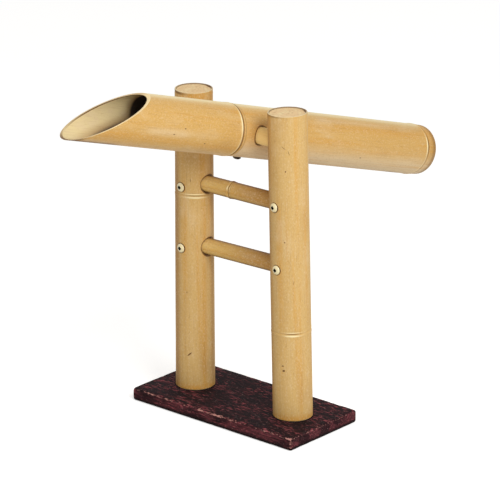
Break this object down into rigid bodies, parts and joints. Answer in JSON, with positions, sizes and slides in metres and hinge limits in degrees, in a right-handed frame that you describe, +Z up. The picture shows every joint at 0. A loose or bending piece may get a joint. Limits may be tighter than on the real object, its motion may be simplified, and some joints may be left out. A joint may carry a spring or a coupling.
{
  "type": "shishi odoshi",
  "caption": "Bamboo rocking spout on a dowel between two bamboo posts with rungs, on a dark stained board; it fills, tips, empties and swings back.",
  "frame": {"origin": "middle of the base board's underside", "axes": "+Z up, +X along the row of posts to the right post, the spout points to -Y and the tail to +Y"},
  "size_m": [0.2144, 0.5439, 0.3689],
  "materials": {
    "bamboo_tube": "satin bamboo skin",
    "bamboo_post": "satin bamboo skin",
    "bamboo_rung": "satin bamboo skin, darker",
    "dowel_wood": "bare pale dowel",
    "plug_wood": "bare wood",
    "stained_board": "dark red-brown stain, worn at the edges",
    "ivory_screw": "ivory lacquer",
    "dark_screw": "darkened steel",
    "zinc_screw": "zinc plated"
  },
  "bodies": {
    "stand": {"base_board": "stained_board", "left_post": "bamboo_post", "right_post": "bamboo_post", "left_foot_plug": "plug_wood", "right_foot_plug": "plug_wood", "left_base_screw": "zinc_screw", "right_base_screw": "zinc_screw", "upper_rung": "bamboo_rung", "lower_rung": "bamboo_rung", "left_upper_rung_screw": "ivory_screw", "left_lower_rung_screw": "ivory_screw", "right_upper_rung_screw": "ivory_screw", "right_lower_rung_screw": "ivory_screw"},
    "rocker": {"rocker_tube": "bamboo_tube", "axle": "dowel_wood", "axle_screw": "dark_screw"}
  },
  "joints": [
    {"name": "rocker_pivot", "type": "hinge", "parent": "stand", "child": "rocker", "pos_m": [0, 0, 0.2992], "axis": [1, 0, 0], "range_deg": [-40, 73.4]}
  ]
}
